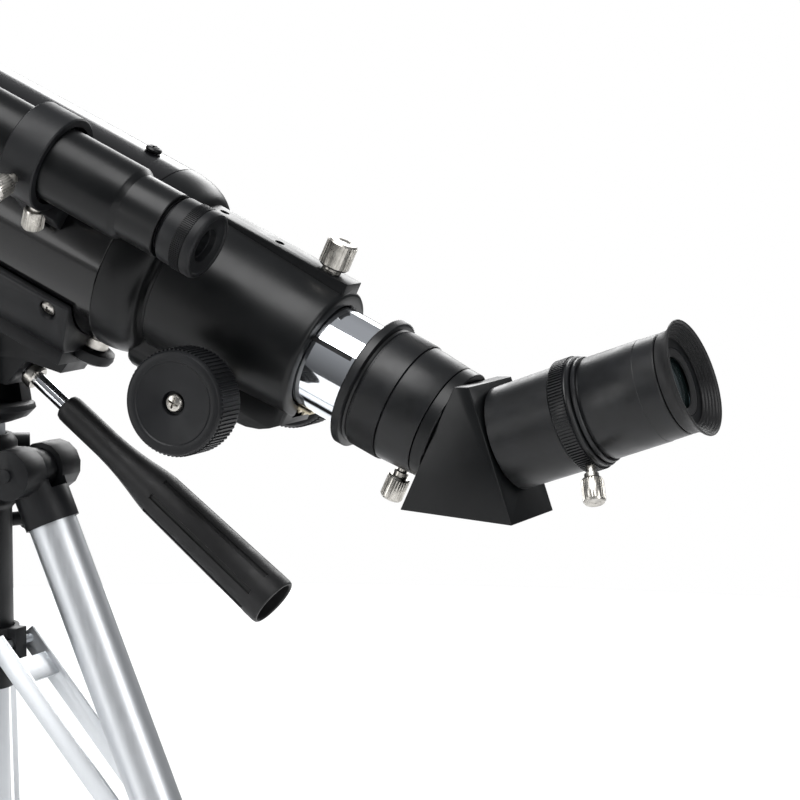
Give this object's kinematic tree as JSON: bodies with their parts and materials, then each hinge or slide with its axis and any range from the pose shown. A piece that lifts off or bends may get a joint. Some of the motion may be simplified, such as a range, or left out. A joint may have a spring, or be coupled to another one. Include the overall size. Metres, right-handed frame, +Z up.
{
  "type": "refractor telescope",
  "caption": "Small travel refractor with rack-and-pinion focuser, erecting diagonal, eyepiece and finder on a folding tripod with pan and tilt head.",
  "frame": {"origin": "middle of the footprint, on the ground", "axes": "+Z up; the eyepiece end points to +X and the objective to -X; the telescope's left side, with the finder, is -Y"},
  "size_m": [0.509, 0.2848, 0.5499],
  "materials": {
    "gloss_black_tube": "gloss black powder coat",
    "satin_black_casting": "satin black enamel",
    "black_plastic": "moulded black ABS, fine grain",
    "black_machined": "black anodised, knurled",
    "black_rubber": "moulded black rubber",
    "chrome_plate": "bright chrome plate",
    "nickel_plate": "nickel plate, knurled",
    "brass_rack": "machined brass",
    "coated_glass": "polished, coated",
    "silver_anodised": "satin silver anodised"
  },
  "bodies": {
    "stand": {"tripod_shoulder": "black_plastic"},
    "column": {"center_column": "silver_anodised"},
    "pan": {"pan_base": "black_plastic", "tilt_axle": "nickel_plate"},
    "head": {"main_tube": "gloss_black_tube", "housing_screw": "black_machined", "dew_shield": "satin_black_casting", "objective_cell": "satin_black_casting", "objective_lens": "coated_glass", "focuser_housing": "satin_black_casting", "finder_tube": "satin_black_casting", "finder_objective": "coated_glass", "finder_bracket": "satin_black_casting", "tube_saddle": "satin_black_casting", "saddle_screw": "nickel_plate", "tilt_platform": "black_plastic"},
    "drawtube": {"drawtube": "chrome_plate", "drawtube_rack": "brass_rack", "eyepiece_adapter": "black_machined"},
    "focus_knobs": {"pinion_shaft": "nickel_plate", "focus_knob_left": "black_plastic", "focus_knob_right": "black_plastic"},
    "focus_lock": {"focus_lock_screw": "nickel_plate"},
    "adapter_screw": {"adapter_thumbscrew": "nickel_plate"},
    "diagonal": {"diagonal_barrel": "satin_black_casting", "prism_housing": "satin_black_casting", "erecting_prism": "coated_glass", "eyepiece_socket": "black_machined"},
    "eyepiece_screw": {"eyepiece_thumbscrew": "nickel_plate"},
    "eyepiece": {"eyepiece_barrel": "chrome_plate", "eyepiece_body": "black_machined", "eyecup": "black_rubber", "eye_lens": "coated_glass"},
    "finder_focus": {"finder_eyepiece": "black_plastic"},
    "finder_screw_a": {"finder_screw_left": "nickel_plate"},
    "finder_screw_b": {"finder_screw_right": "nickel_plate"},
    "mounting_screw": {"platform_screw": "black_plastic"},
    "handle": {"handle_rod": "chrome_plate", "handle_grip": "black_rubber"},
    "pan_lock": {"pan_lock_knob": "black_plastic"},
    "column_lock": {"column_lock_knob": "black_plastic"},
    "hub": {"spreader_hub": "black_plastic"},
    "leg_a": {"leg_socket_a": "black_plastic", "leg_tube_a": "silver_anodised", "leg_collar_a": "black_plastic"},
    "slider_a": {"leg_slider_a": "silver_anodised"},
    "lever_a": {"leg_lever_a": "black_plastic"},
    "strut_a": {"leg_strut_a": "silver_anodised"},
    "leg_b": {"leg_socket_b": "black_plastic", "leg_tube_b": "silver_anodised", "leg_collar_b": "black_plastic"},
    "slider_b": {"leg_slider_b": "silver_anodised"},
    "lever_b": {"leg_lever_b": "black_plastic"},
    "strut_b": {"leg_strut_b": "silver_anodised"},
    "leg_c": {"leg_socket_c": "black_plastic", "leg_tube_c": "silver_anodised", "leg_collar_c": "black_plastic"},
    "slider_c": {"leg_slider_c": "silver_anodised"},
    "lever_c": {"leg_lever_c": "black_plastic"},
    "strut_c": {"leg_strut_c": "silver_anodised"}
  },
  "joints": [
    {"name": "column_lift", "type": "slide", "parent": "stand", "child": "column", "axis": [0, 0, 1], "range_m": [0, 0.12]},
    {"name": "pan_turn", "type": "hinge", "parent": "column", "child": "pan", "pos_m": [-0.04421, 0, 0.35355], "axis": [0, 0, 1], "continuous": true},
    {"name": "tilt", "type": "hinge", "parent": "pan", "child": "head", "pos_m": [-0.04421, 0, 0.35355], "axis": [0, 1, 0], "range_deg": [-45, 12]},
    {"name": "focus_slide", "type": "slide", "parent": "head", "child": "drawtube", "axis": [0.9048, 0, -0.4258], "range_m": [-0.016, 0.045]},
    {"name": "focus_turn", "type": "hinge", "parent": "head", "child": "focus_knobs", "pos_m": [0.07088, 0, 0.33922], "axis": [0, 1, 0], "range_deg": [-275, 765]},
    {"name": "focus_lock_turn", "type": "hinge", "parent": "head", "child": "focus_lock", "pos_m": [0.10761, 0, 0.38438], "axis": [0.4258, 0, 0.9048], "range_deg": [0, 360]},
    {"name": "adapter_screw_turn", "type": "hinge", "parent": "drawtube", "child": "adapter_screw", "pos_m": [0.13513, 0, 0.31065], "axis": [-0.4258, 0, -0.9048], "range_deg": [0, 360]},
    {"name": "diagonal_turn", "type": "hinge", "parent": "drawtube", "child": "diagonal", "pos_m": [0.16849, 0, 0.32258], "axis": [0.9048, 0, -0.4258], "continuous": true},
    {"name": "eyepiece_screw_turn", "type": "hinge", "parent": "diagonal", "child": "eyepiece_screw", "pos_m": [0.21351, -0.01174, 0.31533], "axis": [0.2991, -0.4695, -0.8307], "range_deg": [0, 360]},
    {"name": "eyepiece_slide", "type": "slide", "parent": "diagonal", "child": "eyepiece", "axis": [0.9409, 0, 0.3387], "range_m": [0, 0.022]},
    {"name": "finder_focus_turn", "type": "hinge", "parent": "head", "child": "finder_focus", "pos_m": [0.07659, -0.0515, 0.39832], "axis": [0.9048, 0, -0.4258], "range_deg": [-180, 180]},
    {"name": "finder_screw_a_turn", "type": "hinge", "parent": "head", "child": "finder_screw_a", "pos_m": [0.01463, -0.06963, 0.41813], "axis": [-0.1799, -0.9063, -0.3824], "range_deg": [0, 360]},
    {"name": "finder_screw_b_turn", "type": "hinge", "parent": "head", "child": "finder_screw_b", "pos_m": [0.01022, -0.04466, 0.40877], "axis": [-0.4001, 0.342, -0.8503], "range_deg": [0, 360]},
    {"name": "mounting_screw_turn", "type": "hinge", "parent": "head", "child": "mounting_screw", "pos_m": [-0.07144, 0, 0.37801], "axis": [0.4258, 0, 0.9048], "range_deg": [0, 360]},
    {"name": "handle_twist", "type": "hinge", "parent": "head", "child": "handle", "pos_m": [-0.04066, 0, 0.35802], "axis": [0.7826, 0, -0.6225], "range_deg": [0, 270]},
    {"name": "pan_lock_turn", "type": "hinge", "parent": "pan", "child": "pan_lock", "pos_m": [-0.06421, 0, 0.32505], "axis": [-1, 0, 0], "range_deg": [0, 360]},
    {"name": "column_lock_turn", "type": "hinge", "parent": "stand", "child": "column_lock", "pos_m": [-0.03421, 0.01732, 0.28175], "axis": [0.5, 0.866, 0], "range_deg": [0, 360]},
    {"name": "leg_fold_a", "type": "hinge", "parent": "stand", "child": "leg_a", "pos_m": [-0.01941, 0, 0.30375], "axis": [0, 1, 0], "range_deg": [0, 17.3]},
    {"name": "leg_extend_a", "type": "slide", "parent": "leg_a", "child": "slider_a", "axis": [0.3875, 0, -0.9219], "range_m": [0, 0.2]},
    {"name": "lever_turn_a", "type": "hinge", "parent": "leg_a", "child": "lever_a", "pos_m": [0.09875, 0, 0.06162], "axis": [0, 1, 0], "range_deg": [0, 110]},
    {"name": "strut_turn_a", "type": "hinge", "parent": "hub", "child": "strut_a", "pos_m": [-0.02821, 0, 0.23575], "axis": [0, 1, 0], "range_deg": [0, 27.69]},
    {"name": "leg_fold_b", "type": "hinge", "parent": "stand", "child": "leg_b", "pos_m": [-0.05661, 0.02148, 0.30375], "axis": [-0.866, -0.5, 0], "range_deg": [0, 17.3]},
    {"name": "leg_extend_b", "type": "slide", "parent": "leg_b", "child": "slider_b", "axis": [-0.1938, 0.3356, -0.9219], "range_m": [0, 0.2]},
    {"name": "lever_turn_b", "type": "hinge", "parent": "leg_b", "child": "lever_b", "pos_m": [-0.11569, 0.12381, 0.06162], "axis": [-0.866, -0.5, 0], "range_deg": [0, 110]},
    {"name": "strut_turn_b", "type": "hinge", "parent": "hub", "child": "strut_b", "pos_m": [-0.05221, 0.01386, 0.23575], "axis": [-0.866, -0.5, 0], "range_deg": [0, 27.69]},
    {"name": "leg_fold_c", "type": "hinge", "parent": "stand", "child": "leg_c", "pos_m": [-0.05661, -0.02148, 0.30375], "axis": [0.866, -0.5, 0], "range_deg": [0, 17.3]},
    {"name": "leg_extend_c", "type": "slide", "parent": "leg_c", "child": "slider_c", "axis": [-0.1938, -0.3356, -0.9219], "range_m": [0, 0.2]},
    {"name": "lever_turn_c", "type": "hinge", "parent": "leg_c", "child": "lever_c", "pos_m": [-0.11569, -0.12381, 0.06162], "axis": [0.866, -0.5, 0], "range_deg": [0, 110]},
    {"name": "strut_turn_c", "type": "hinge", "parent": "hub", "child": "strut_c", "pos_m": [-0.05221, -0.01386, 0.23575], "axis": [0.866, -0.5, 0], "range_deg": [0, 27.69]},
    {"name": "hub_slide", "type": "slide", "parent": "stand", "child": "hub", "axis": [0, 0, 1], "range_m": [0, 0.0122]}
  ],
  "couplings": [
    {"joint": "focus_turn", "follows": "focus_slide", "rad_per_m": 290},
    {"joint": "strut_turn_a", "follows": "leg_fold_a", "ratio": 1.5949},
    {"joint": "leg_fold_b", "follows": "leg_fold_a", "ratio": 1},
    {"joint": "strut_turn_b", "follows": "leg_fold_a", "ratio": 1.5949},
    {"joint": "leg_fold_c", "follows": "leg_fold_a", "ratio": 1},
    {"joint": "strut_turn_c", "follows": "leg_fold_a", "ratio": 1.5949},
    {"joint": "hub_slide", "follows": "leg_fold_a", "m_per_rad": 0.039736}
  ]
}
